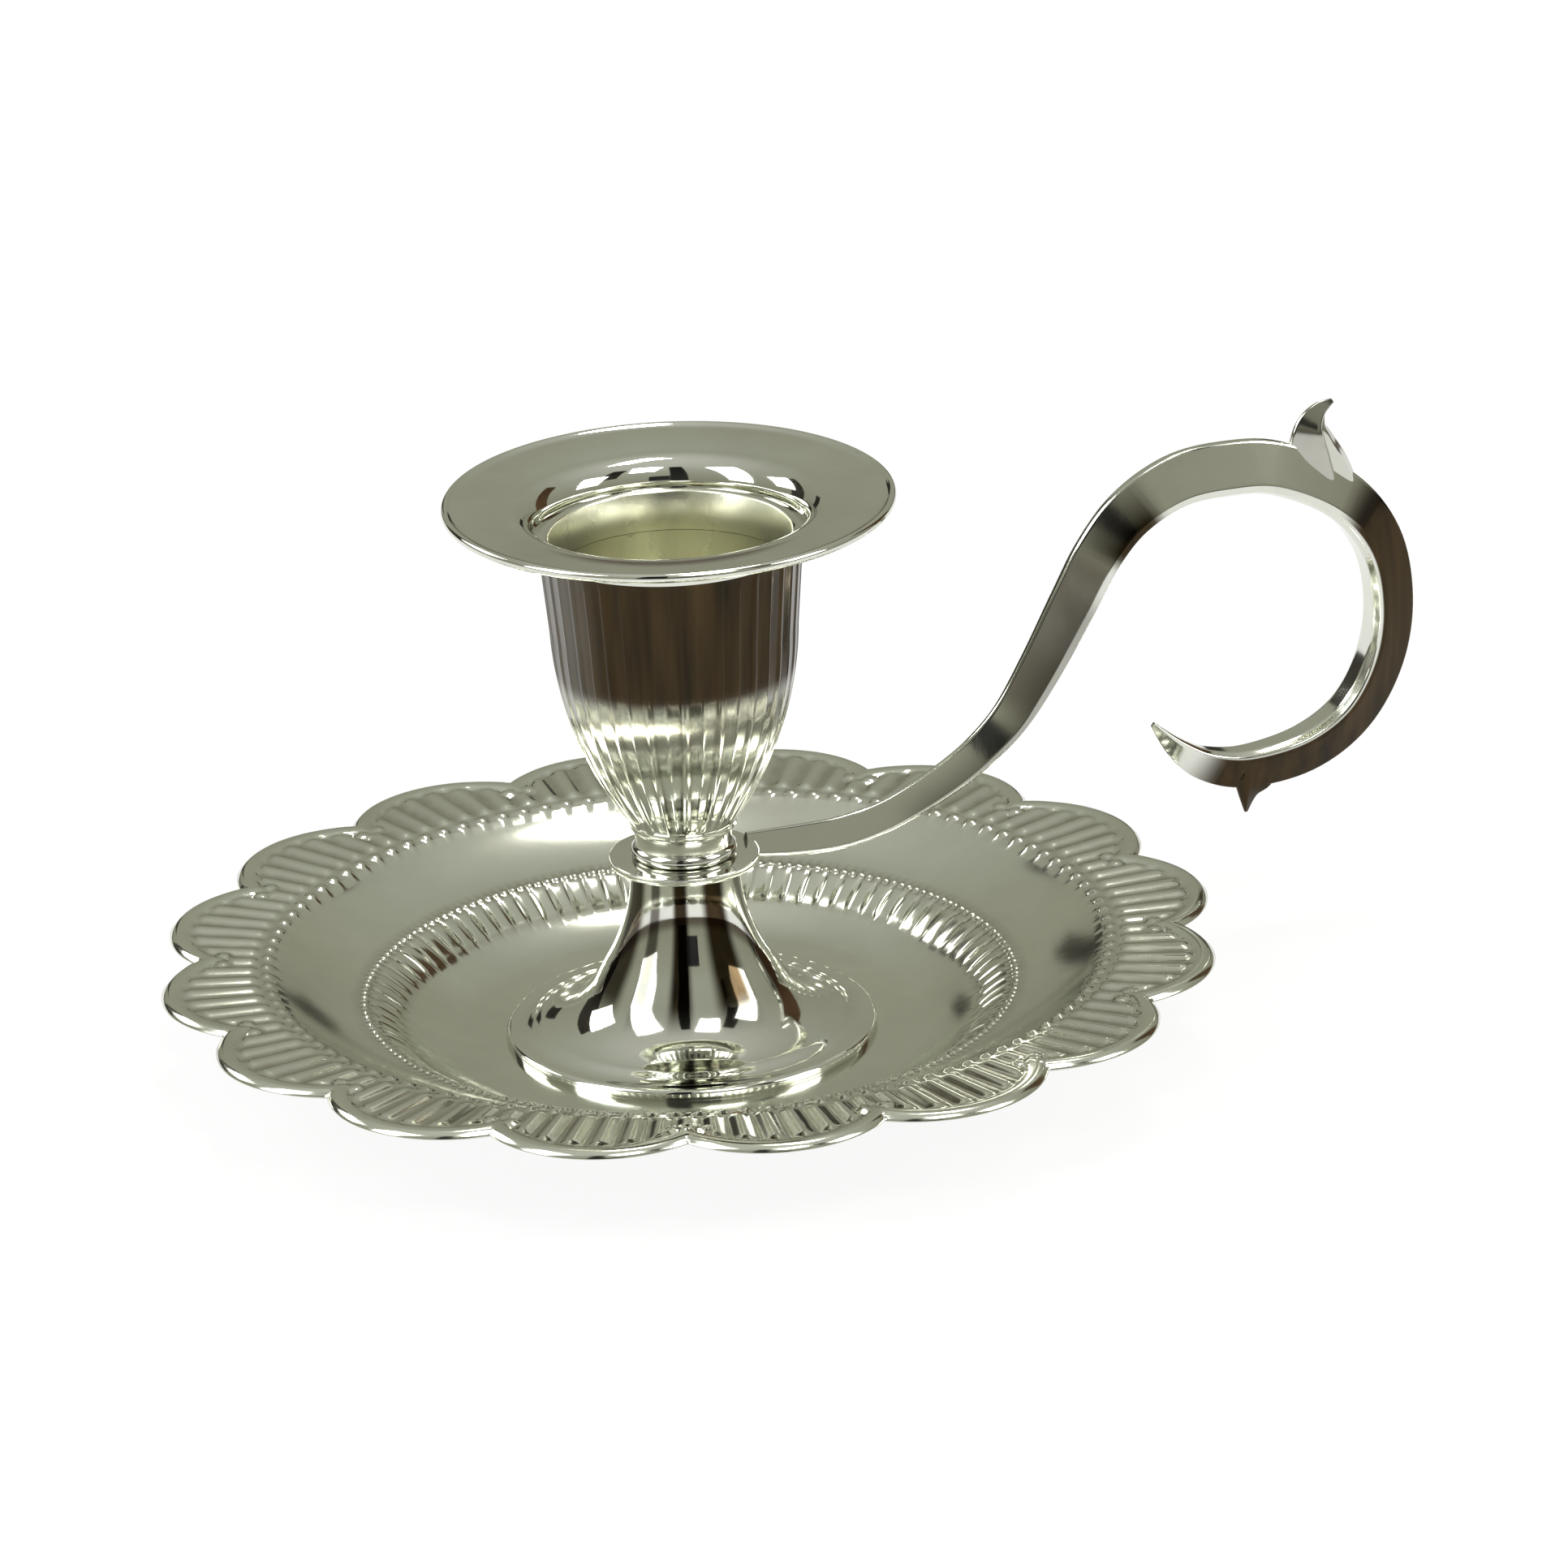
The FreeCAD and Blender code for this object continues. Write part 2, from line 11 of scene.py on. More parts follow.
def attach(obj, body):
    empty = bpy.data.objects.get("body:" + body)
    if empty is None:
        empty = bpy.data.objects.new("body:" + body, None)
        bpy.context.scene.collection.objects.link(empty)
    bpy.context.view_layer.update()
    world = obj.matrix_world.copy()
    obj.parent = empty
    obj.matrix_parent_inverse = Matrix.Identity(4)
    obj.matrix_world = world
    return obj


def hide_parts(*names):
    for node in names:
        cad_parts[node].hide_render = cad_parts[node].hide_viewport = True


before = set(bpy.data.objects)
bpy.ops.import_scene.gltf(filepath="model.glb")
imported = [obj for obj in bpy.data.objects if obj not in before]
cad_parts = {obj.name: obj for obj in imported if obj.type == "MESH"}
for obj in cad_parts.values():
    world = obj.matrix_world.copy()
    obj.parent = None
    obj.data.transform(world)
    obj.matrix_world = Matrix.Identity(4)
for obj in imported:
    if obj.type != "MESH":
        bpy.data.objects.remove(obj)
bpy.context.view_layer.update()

MM = 0.001
TURN = 2 * math.pi
ANTICLOCKWISE, CLOCKWISE = 1, -1
HAIR = 1e-9  # a side shorter than this is no side

SCREW_HOLE, BORE = 2.2, 11.2  # radii
ROUND_STEPS = 256


# Shape helpers


def clamp(value, low=0.0, high=1.0):
    return max(low, min(high, value))


def ease(value, start, end):
    """0 before start, 1 after end, smooth between."""
    t = clamp((value - start) / (end - start))
    return t * t * (3 - 2 * t)


def apart(first, second):
    """Degrees between two directions."""
    return abs((first - second + 180) % 360 - 180)


def wave(angle, count, shift=0.0):
    """Place across one of count equal pitches, from -1 to 1, with 0 at its middle."""
    turn = angle * count / TURN + shift
    return 2 * (turn - math.floor(turn)) - 1


def arc(first, second, radius, turn, steps):
    """Points from first to second on an arc, without first."""
    (x1, y1), (x2, y2) = first, second
    half = math.hypot(x2 - x1, y2 - y1) / 2
    away = turn * math.sqrt(max(radius**2 - half**2, 0))
    cx = (x1 + x2) / 2 - (y2 - y1) / (2 * half) * away
    cy = (y1 + y2) / 2 + (x2 - x1) / (2 * half) * away
    a1 = math.atan2(y1 - cy, x1 - cx)
    a2 = math.atan2(y2 - cy, x2 - cx)
    if turn > 0 and a2 < a1:
        a2 += TURN
    if turn < 0 and a2 > a1:
        a2 -= TURN
    angles = [a1 + (a2 - a1) * k / steps for k in range(1, steps + 1)]
    return [(cx + radius * math.cos(a), cy + radius * math.sin(a)) for a in angles]


def run(first, second, steps):
    """Points from first to second on a straight line, without first."""
    (x1, y1), (x2, y2) = first, second
    shares = range(1, steps + 1)
    return [(x1 + (x2 - x1) * k / steps, y1 + (y2 - y1) * k / steps) for k in shares]


def outline(points, legs):
    """Outline that starts with points. A leg is (end, steps) for a straight line, or (end, steps,
    radius, turn) for an arc."""
    made = list(points)
    for end, steps, *bend in legs:
        made += arc(made[-1], end, *bend, steps) if bend else run(made[-1], end, steps)
    return made


NEARLY_STRAIGHT = math.radians(165)
CORNER_STEPS = 3
CORNER_SHARE = 0.4  # most that a rounded corner takes of a side


def soften(points, radius):
    """Round the corners of a closed outline by a small radius, keeping its flats flat."""
    made = []
    for k, spot in enumerate(points):
        before, after = points[k - 1], points[(k + 1) % len(points)]
        to_before = Vector((before[0] - spot[0], before[1] - spot[1]))
        to_after = Vector((after[0] - spot[0], after[1] - spot[1]))
        if to_before.length < HAIR or to_after.length < HAIR:
            continue
        if to_before.angle(to_after) > NEARLY_STRAIGHT:
            made.append(spot)
            continue
        near = min(radius, CORNER_SHARE * to_before.length, CORNER_SHARE * to_after.length)
        corner = Vector(spot)
        start = corner + to_before.normalized() * near
        end = corner + to_after.normalized() * near
        for j in range(CORNER_STEPS + 1):
            t = j / CORNER_STEPS
            made.append(tuple(start * (1 - t) ** 2 + corner * 2 * t * (1 - t) + end * t**2))
    return made


def mesh_of(name, points, faces, layers):
    """Mesh of points in metres, with each layer's value at every point."""
    mesh = bpy.data.meshes.new(name)
    mesh.from_pydata(points, [], faces)
    for title, values in layers.items():
        mesh.attributes.new(title, "FLOAT", "POINT").data.foreach_set("value", values)
    mesh.update()
    return mesh


def surface(name, rings, marks=None, painted_reflections=None, loop=True):
    """Closed mesh from rings of points. loop joins the last ring to the first, or else both ends
    get a cap.

    marks says how deep in a hollow each point lies, and the other list how strong its painted
    reflection is, drawn as a brown layer."""
    count = len(rings[0])
    points = [(x * MM, y * MM, z * MM) for ring in rings for x, y, z in ring]
    faces = []
    for j in range(len(rings) if loop else len(rings) - 1):
        this, following = j * count, ((j + 1) % len(rings)) * count
        for k in range(count):
            right = (k + 1) % count
            faces.append((this + k, this + right, following + right, following + k))
    if not loop:
        last = (len(rings) - 1) * count
        faces.append(tuple(reversed(range(count))))
        faces.append(tuple(range(last, last + count)))
    blank = [0.0] * len(points)
    return mesh_of(name, points, faces, {"hollow": marks or blank, "painted_reflection": painted_reflections or blank})


def turned(profile, steps, shape=lambda r, z, angle: (0.0, 0.0)):
    """Rings round Z from an outline, and their hollow marks. shape(r, z, angle) gives a change of
    radius and a mark."""
    rings, marks = [], []
    for r, z in profile:
        ring = []
        for k in range(steps):
            angle = TURN * k / steps
            change, mark = shape(r, z, angle)
            ring.append(((r + change) * math.cos(angle), (r + change) * math.sin(angle), z))
            marks.append(mark)
        rings.append(ring)
    return rings, marks


def placed(name, data):
    """New object in the scene."""
    made = bpy.data.objects.new(name, data)
    bpy.context.scene.collection.objects.link(made)
    return made


def piece(name, mesh, material, body, node, sharp, inside=None):
    """Object that stands for a CAD node and rides on its body. Edges of more than sharp degrees
    stay sharp, and faces that inside(centre, normal) picks get the satin finish."""
    made = placed(name, mesh)
    mesh.materials.append(material)
    mesh.polygons.foreach_set("use_smooth", [True] * len(mesh.polygons))
    if inside:
        mesh.materials.append(SATIN)
        for face in mesh.polygons:
            face.material_index = int(inside(face.center / MM, face.normal))
    mesh.set_sharp_from_angle(angle=math.radians(sharp))
    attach(made, body)
    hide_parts(node)


# Materials


def bare_tree(owner):
    """Node tree of a material or world, without nodes."""
    owner.use_nodes = True
    owner.node_tree.nodes.clear()
    return owner.node_tree


def add_node(tree, kind, inputs, **fields):
    """Add a shader node and return its outputs. An input is a value, or an output to link to it."""
    made = tree.nodes.new("ShaderNode" + kind)
    for title, value in fields.items():
        setattr(made, title, value)
    for title, value in inputs.items():
        if isinstance(value, bpy.types.NodeSocket):
            tree.links.new(value, made.inputs[title])
        else:
            made.inputs[title].default_value = value
    return made.outputs


def calc(tree, operation, first, second, clamped=False):
    """Sum or product of two values."""
    inputs = {0: first, 1: second}
    return add_node(tree, "Math", inputs, operation=operation, use_clamp=clamped)["Value"]


def blend(tree, share, first, second, kind="RGBA"):
    """Mix that goes from first to second with share."""
    inputs = {"Factor": share, "A": first, "B": second}
    return add_node(tree, "Mix", inputs, data_type=kind)["Result"]


def ranged(tree, value, low, high, floor=0.0):
    """Value brought from the range low to high to the range floor to 1."""
    inputs = {"Value": value, "From Min": low, "From Max": high, "To Min": floor}
    return add_node(tree, "MapRange", inputs)["Result"]


def noise(tree, place, scale, detail, roughness=0.5):
    inputs = {"Vector": place, "Scale": scale, "Detail": detail, "Roughness": roughness}
    return add_node(tree, "TexNoise", inputs)["Fac"]


def streaks(tree, place, scales, detail):
    """Noise drawn out along Z, with its scale on each axis."""
    stretched = add_node(tree, "Mapping", {"Vector": place, "Scale": scales})["Vector"]
    return noise(tree, stretched, 1.0, detail)


# Warm tarnish in the hollows; in the brim's flute grooves it also stands for a painted dark
# reflection
STAIN_AND_GROOVE_REFLECTION = (0.20, 0.155, 0.10, 1)
# Colours of the painted reflection: a brown layer that stands for dark surroundings seen in the
# metal
REFLECTION_DARK, REFLECTION_WARM = (0.010, 0.007, 0.003, 1), (0.058, 0.035, 0.012, 1)
REFLECTION_COVER = 0.985
HAZE = 0.13  # roughness that the dull patches add
WIPE_DEPTH = 0.00004


def plate(name, clean, dull, gloss, grain, tarnish=0.35):
    """Polished plate: faint cloudy dulling, fine wiping marks, warm tarnish in the hollows, which
    in the brim's flute grooves is partly painted reflection, and a painted reflection, drawn as a
    brown layer, where the mesh asks for one."""
    material = bpy.data.materials.new(name)
    tree = bare_tree(material)
    place = add_node(tree, "TexCoord", {})["Object"]
    patches = ranged(tree, noise(tree, place, 55.0, 5.0, 0.62), 0.42, 0.78)
    tint = blend(tree, patches, (*clean, 1), (*dull, 1))
    hollow = add_node(tree, "Attribute", {}, attribute_name="hollow")["Fac"]
    specks = noise(tree, place, 420.0, 3.0)
    hollow_share = calc(tree, "MULTIPLY", hollow, specks)
    hollow_share = calc(tree, "MULTIPLY", hollow_share, 2.0 * tarnish, clamped=True)
    hollow_tinted = blend(tree, hollow_share, tint, STAIN_AND_GROOVE_REFLECTION)
    uneven = ranged(tree, streaks(tree, place, (700.0, 700.0, 25.0), 3.0), 0.26, 0.80, 0.10)
    # Painted reflection: a brown layer, dark to warm at random, laid over the metal where the mesh
    # asks for it
    painted_reflection = add_node(tree, "Attribute", {}, attribute_name="painted_reflection")["Fac"]
    painted_reflection = calc(tree, "MULTIPLY", painted_reflection, REFLECTION_COVER, clamped=True)
    colour = blend(tree, painted_reflection, hollow_tinted, blend(tree, uneven, REFLECTION_DARK, REFLECTION_WARM))
    wipes = streaks(tree, place, (900.0, 900.0, 120.0), 4.0)
    hazy = calc(tree, "MULTIPLY", patches, wipes)
    rough = blend(tree, hazy, gloss, gloss + HAZE, "FLOAT")
    bump = add_node(tree, "Bump", {"Strength": grain, "Distance": WIPE_DEPTH, "Height": wipes})
    metal = {"Metallic": 1.0, "Base Color": colour, "Roughness": rough, "Normal": bump["Normal"]}
    shader = add_node(tree, "BsdfPrincipled", metal)
    add_node(tree, "OutputMaterial", {"Surface": shader["BSDF"]})
    return material


SILVER = plate("silver_plate", (0.72, 0.735, 0.65), (0.60, 0.605, 0.52), 0.12, 0.10)
BRIGHT = plate("silver_bright", (0.74, 0.75, 0.68), (0.62, 0.62, 0.545), 0.045, 0.08)
CAST = plate("silver_cast", (0.74, 0.75, 0.68), (0.62, 0.62, 0.545), 0.09, 0.10)
SATIN = plate("silver_satin", (0.88, 0.88, 0.74), (0.76, 0.76, 0.60), 0.26, 0.30)
ZINC = plate("zinc_steel", (0.60, 0.60, 0.59), (0.42, 0.41, 0.39), 0.32, 0.45, 0.6)


# Tray: dished floor, gadroons with small beads, plain band, beaded and fluted brim, rolled lobes

TRAY_STEPS, BRIM_STEPS = 1120, 27
LOBES, FLUTES, GADROONS, SMALL_BEADS = 16, 112, 100, 200
EDGE, NOTCH = 49.7, 46.2
HALF_LOBE = math.pi / LOBES
LOBE_HALF_WIDTH = NOTCH * math.sin(HALF_LOBE)
LOBE_DEPTH = EDGE - NOTCH * math.cos(HALF_LOBE)
LOBE_RADIUS = (LOBE_HALF_WIDTH**2 + LOBE_DEPTH**2) / (2 * LOBE_DEPTH)
LOBE_CENTRE = EDGE - LOBE_RADIUS
BRIM_START, BRIM_FOOT, RIM_EDGE = 39.6, 8.8, 9.2
RIM_WIDTH, RIM_CROWN = 2.0, 2.1
GADROON_START, GADROON_END, GADROON_LENGTH = 27.0, 29.95, 2.9
GADROON_RISE, GADROON_SINK = 0.34, 0.06
SMALL_RING, SMALL_SIZE, SMALL_RISE, SMALL_STRIP = 30.45, 0.45, 0.24, (29.8, 31.1)
BEAD_RING, BEAD_SIZE, BEAD_RISE, BEAD_STRIP = 39.35, 0.60, 0.26, (38.8, 40.2)
FLUTE_RISE, FLUTE_START = 0.36, (40.0, 41.0)
PAIR_RING, PAIR_OFFSET, PAIR_SIZE, PAIR_FOOT, PAIR_RISE = 43.6, 1.0, 0.8, 9.05, 0.36


def in_lobe(angle):
    """Angle from the middle of the nearest lobe; lobes lie half a lobe either side of +X."""
    return (angle % (2 * HALF_LOBE)) - HALF_LOBE


def from_notch(angle):
    """Angle from the nearest notch between two lobes."""
    past = angle % (2 * HALF_LOBE)
    return past - 2 * HALF_LOBE if past > HALF_LOBE else past


def edge_radius(angle):
    """Radius of the scalloped edge at an angle."""
    off = in_lobe(angle)
    reach = math.sqrt(LOBE_RADIUS**2 - (LOBE_CENTRE * math.sin(off)) ** 2)
    return LOBE_CENTRE * math.cos(off) + reach


def dome(r, angle, ring, count, size, height):
    """Height of a round bead, one of count on a ring."""
    across = wave(angle, count) * math.pi * ring / count
    off = math.hypot(r - ring, across) / size
    return height * math.sqrt(1 - off * off) if off < 1 else 0.0


def gadroon(r, angle):
    """Height and hollow mark in the gadroon ring."""
    along = clamp((r - GADROON_START) / GADROON_LENGTH)
    across = wave(angle, GADROONS, 0.5)
    ends = math.sin(math.pi * clamp(along * 0.96 + 0.02)) ** 0.4
    round_top = max(1 - across**4, 0) ** 0.6 * ends
    return GADROON_RISE * round_top - GADROON_SINK, 0.8 * (1 - round_top) ** 2


def brim(r, angle, z, mark):
    """Height and hollow mark on the brim: its flutes, raised moulding and pairs of beads."""
    off = in_lobe(angle)
    inward = LOBE_RADIUS - math.hypot(r * math.cos(off) - LOBE_CENTRE, r * math.sin(off))
    ripple = 0.5 + 0.5 * math.cos(math.pi * wave(angle, FLUTES, 0.5))
    fade = ease(inward, RIM_WIDTH - 0.3, RIM_WIDTH + 0.6) * ease(r, *FLUTE_START)
    z += FLUTE_RISE * (ripple**0.85) * fade
    # The grooves' mark is partly tarnish and partly painted reflection of dark surroundings
    mark = max(mark, (1 - ripple) ** 1.5 * fade)
    if inward < RIM_WIDTH:
        middle = RIM_WIDTH / 2
        crown = math.sqrt(RIM_CROWN**2 - (clamp(inward, 0, RIM_WIDTH) - middle) ** 2)
        rise = crown - math.sqrt(RIM_CROWN**2 - middle**2)
        z = RIM_EDGE + rise - 0.30 * (1 - ease(inward, 0.0, 0.5))
    else:
        mark = max(mark, 0.4 * (1 - ease(inward, RIM_WIDTH, RIM_WIDTH + 0.6)))
    turn = from_notch(angle)
    for side in (-PAIR_OFFSET, PAIR_OFFSET):
        off = math.hypot(r * math.cos(turn) - PAIR_RING, r * math.sin(turn) - side) / PAIR_SIZE
        if off < 1:
            z = max(z, PAIR_FOOT + PAIR_RISE * math.sqrt(1 - off * off))
            mark = min(mark, 0.1)
    return z, mark


def tray_height(r, angle, base):
    """Height and hollow mark of the tray's upper face."""
    z, mark = base, 0.0
    if GADROON_START <= r <= GADROON_END:
        rise, mark = gadroon(r, angle)
        z += rise
    z += dome(r, angle, SMALL_RING, SMALL_BEADS, SMALL_SIZE, SMALL_RISE)
    if SMALL_STRIP[0] < r < SMALL_STRIP[1]:
        mark = max(mark, 0.6)
    z += dome(r, angle, BEAD_RING, FLUTES, BEAD_SIZE, BEAD_RISE)
    if BEAD_STRIP[0] < r < BEAD_STRIP[1]:
        mark = max(mark, 0.55 * (1 - abs(wave(angle, FLUTES)) * 0.5))
    return brim(r, angle, z, mark) if r > BRIM_START else (z, mark)


def brim_spot(edge, share):
    """Radius and base height at a share of the brim, where the tray's edge is at radius edge."""
    r = BRIM_START + (edge - BRIM_START) * share
    return r, BRIM_FOOT + (RIM_EDGE - BRIM_FOOT) * (r - BRIM_START) / (EDGE - BRIM_START)


def make_tray():
    # Clockwise, because the outline runs clockwise too, so that the faces look outwards
    angles = [-TURN * k / TRAY_STEPS for k in range(TRAY_STEPS)]
    around = [(a, math.cos(a), math.sin(a), edge_radius(a)) for a in angles]
    top = outline(
        [(SCREW_HOLE, 3.2)],
        [
            ((6.4, 3.2), 1),
            ((7.6, 0.6), 1),
            ((22.0, 0.6), 2),
            ((27.0, 2.6), 8, 12.0, ANTICLOCKWISE),
            ((29.9, 4.7), 12),
            ((31.0, 5.0), 7),
            ((38.7, 8.5), 9, 20.0, ANTICLOCKWISE),
            ((BRIM_START, BRIM_FOOT), 4),
        ],
    )
    levels = [[spot] * TRAY_STEPS for spot in top]
    for step in range(1, BRIM_STEPS + 1):
        share = 1 - (1 - step / BRIM_STEPS) ** 1.15
        levels.append([brim_spot(edge, share) for _, _, _, edge in around])
    rings, marks = [], []
    for level in levels:
        ring = []
        for (angle, c, s, _), (r, base) in zip(around, level):
            z, mark = tray_height(r, angle, base)
            ring.append((r * c, r * s, z))
            marks.append(mark)
        rings.append(ring)
    for inset, z in ((0.0, 8.8), (0.4, 8.6), (1.8, 8.45)):
        rings.append([((edge - inset) * c, (edge - inset) * s, z) for _, c, s, edge in around])
        marks += [0.2] * TRAY_STEPS
    under = outline([(BRIM_START, 8.2), (38.7, 7.9)], [((31.0, 4.4), 3, 20.0, CLOCKWISE)])
    under += [(29.9, 4.1), (27.0, 2.0), (24.5, 0.7), (22.0, 0.0), (7.6, 0.0)]
    under += [(6.4, 2.6), (SCREW_HOLE, 2.6)]
    for r, z in under:
        rings.append([(r * c, r * s, z) for _, c, s, _ in around])
        marks += [0.25] * TRAY_STEPS
    return surface("tray_chased", rings, marks)


piece("tray_chased", make_tray(), SILVER, "base", "tray", 50)


# Pedestal: hollow trumpet with a wide rolled flange, and painted reflections drawn as brown runs
# down its neck

NECK_FOOT = (3.6, 6.5)  # heights over which the runs begin

# Each run's middle and half width in degrees, and its strength
RUNS = [
    (-118, 8, 1.0),
    (-82, 14, 1.0),
    (-145, 6, 0.8),
    (-174, 15, 0.95),
    (-44, 9, 0.7),
    (-10, 12, 0.7),
    (30, 6, 0.8),
    (75, 13, 0.7),
    (128, 8, 0.85),
]


def painted_reflection_run(angle):
    """Strength of the painted reflection runs at an angle."""
    most = 0.0
    for middle, half, strength in RUNS:
        off = apart(math.degrees(angle), middle)
        most = max(most, strength * (1 - ease(off, 0.55 * half, 1.2 * half)))
    return most


def make_pedestal():
    profile = outline(
        [(SCREW_HOLE, 17.6), (SCREW_HOLE, 16.1), (3.95, 16.1)],
        [
            ((6.15, 8.15), 10, 18.8, ANTICLOCKWISE),
            ((7.65, 5.65), 3),
            ((13.3, 0.6), 10, 8.0, ANTICLOCKWISE),
            ((17.4, 0.6), 3),
            ((17.4, 1.05), 1),
            ((16.95, 1.55), 5, 0.5875, ANTICLOCKWISE),
            ((16.5, 1.55), 2),
            ((14.4, 2.1), 6, 3.2, CLOCKWISE),
            ((8.75, 6.2), 18, 8.0, CLOCKWISE),
            ((7.25, 8.7), 4),
            ((5.05, 17.6), 16, 18.8, CLOCKWISE),
        ],
    )

    def joints(r, z, angle):
        return 0.0, 0.9 if z < 1.0 or z > 17.2 else 0.0

    rings, marks = turned(profile, ROUND_STEPS, joints)
    # Painted reflections: brown runs down the neck, at the angles listed in RUNS
    runs = [painted_reflection_run(TURN * k / ROUND_STEPS) for k in range(ROUND_STEPS)]
    painted_reflections = [strength * ease(z, *NECK_FOOT) for _, z in profile for strength in runs]
    return surface("pedestal_turned", rings, marks, painted_reflections)


piece("pedestal_turned", make_pedestal(), BRIGHT, "base", "pedestal", 45)


# Candle cup: hollow flutes between narrow fillets, over a plain collar

CUP_STEPS, CUP_FLUTES = 640, 20
BELLY_FOOT, BELLY_TOP, CUP_RIM = (4.85, 21.6), (11.55, 41.0), (12.3, 49.5)
BELLY = outline([BELLY_FOOT], [(BELLY_TOP, 40, 35.0, ANTICLOCKWISE)])
FLUTE_FOOT, FLUTE_TOP = (21.7, 23.2), (48.7, 49.3)  # heights over which the flutes fade
REFLECTION_FOOT, REFLECTION_EDGE = (28.5, 33.5), (35.6, 37.6)  # heights over which the painted reflection grows
THINNEST_REFLECTION, PALE_SPREAD = 182, (6, 34)  # degrees round the cup where the painted reflection is thinnest


def cup_wall(z):
    """Outer radius of the cup at a height."""
    (top_r, top_z), (rim_r, rim_z) = BELLY_TOP, CUP_RIM
    if z >= top_z:
        return top_r + (rim_r - top_r) * (z - top_z) / (rim_z - top_z)
    for (r1, z1), (r2, z2) in zip(BELLY, BELLY[1:]):
        if z1 <= z <= z2:
            return r1 + (r2 - r1) * (z - z1) / (z2 - z1)
    return BELLY_FOOT[0]


def cup_shape(r, z, angle):
    """Change of radius and hollow mark of the cup, fluted on its outside."""
    if not (r > 4.8 and z >= BELLY_FOOT[1] and r > cup_wall(z) - 0.3):
        return 0.0, 0.2
    across = wave(angle, CUP_FLUTES, 0.5)
    pitch = math.pi * r / CUP_FLUTES
    fade = ease(z, *FLUTE_FOOT) * (1 - ease(z, *FLUTE_TOP))
    from_ridge = (1 - abs(wave(angle, CUP_FLUTES))) * pitch
    fillet = math.exp(-((from_ridge / 0.26) ** 2))
    scoop = math.sqrt(max(1 - across * across, 0)) * min(0.22, 0.09 * pitch)
    mark = 0.85 * math.exp(-(((from_ridge - 0.42) / 0.2) ** 2))
    return (0.15 * fillet - scoop) * fade, mark * fade


def cup_painted_reflection(r, z):
    """Painted reflection on the cup, drawn as a brown layer: on its outside from the belly up,
    thickest in the upper half, and a thin brown layer inside.
    """
    if r > 10.0 and z > 30.0 and r > cup_wall(z) - 0.4:
        return 0.20 + 0.34 * ease(z, *REFLECTION_FOOT) + 0.46 * ease(z, *REFLECTION_EDGE)
    return 0.12 if r < 11.5 else 0.0


def make_cup():
    collar = [(SCREW_HOLE, 18.3), (4.55, 18.3), (4.85, 18.5), (4.95, 18.9), (4.85, 19.3)]
    collar += [(4.55, 19.5), (4.5, 20.2), (4.55, 20.9), (4.85, 21.05), (5.02, 21.3), (4.95, 21.55)]
    profile = outline(
        collar + BELLY[1:],
        [
            (CUP_RIM, 16),
            ((11.7, 49.5), 1),
            ((11.7, 46.2), 2),
            ((BORE, 46.2), 1),
            ((BORE, 43.0), 2),
            ((6.0, 25.0), 12, 35.0, CLOCKWISE),
            ((SCREW_HOLE, 25.0), 2),
        ],
    )
    rings, marks = turned(profile, CUP_STEPS, cup_shape)
    # Painted reflection of the cup, thinner on one side
    painted_reflections = []
    for r, z in profile:
        depth = cup_painted_reflection(r, z)
        for k in range(CUP_STEPS):
            near = 1 - ease(apart(360 * k / CUP_STEPS, THINNEST_REFLECTION), *PALE_SPREAD)
            painted_reflections.append(depth * (1 - 0.12 * near * ease(z, *REFLECTION_EDGE)))
    return surface("candle_cup_fluted", rings, marks, painted_reflections)


def faces_axis(centre, normal):
    """Bore of the cup, or of the pan's sleeve."""
    inward = normal.xy.dot(centre.xy) < 0 or normal.z > 0.7
    return centre.xy.length < 11.75 and centre.z > 24.0 and inward


piece("candle_cup_fluted", make_cup(), CAST, "base", "candle_cup", 50, faces_axis)


# Drip pan: dished pan with a rolled edge, a rounded throat and a sleeve


def make_pan():
    profile = outline(
        [(BORE, 46.25), (11.6, 46.25), (11.6, 49.5), (12.9, 49.5), (12.9, 50.1)],
        [
            ((14.9, 52.1), 8, 2.0, CLOCKWISE),
            ((20.55, 52.7), 6),
            ((21.0, 53.15), 5, 0.45, ANTICLOCKWISE),
            ((20.55, 53.6), 5, 0.45, ANTICLOCKWISE),
            ((20.1, 53.3), 2),
            ((14.9, 52.7), 10, 40.0, ANTICLOCKWISE),
            ((12.3, 50.1), 14, 2.6, ANTICLOCKWISE),
            ((11.35, 50.1), 1),
            ((BORE, 49.9), 1),
        ],
    )

    def sleeve(r, z, angle):
        return 0.0, 0.3 if r < 12.0 else 0.0

    return surface("drip_pan_spun", *turned(profile, ROUND_STEPS, sleeve))


piece("drip_pan_spun", make_pan(), BRIGHT, "nozzle", "drip_pan", 55, faces_axis)


# Handle: eye, faceted bar and scroll, leaf spur with its tendril, and thorn

REACH, RISE, EYE_MIDDLE, THICK, BROAD = 73.4, 28.65, 17.95, 4.9, 4.1
EYE_RADIUS, EYE_HALF, EYE_STEPS, EYE_ROUND = 7.0, 0.35, 192, 0.15
ROUTE_STEPS = 8
BAR_CORNER, SPUR_CORNER = 0.05, 0.08  # rounding as a share of the thickness,
THICKEST_ROUND = 4  # which counts up to this

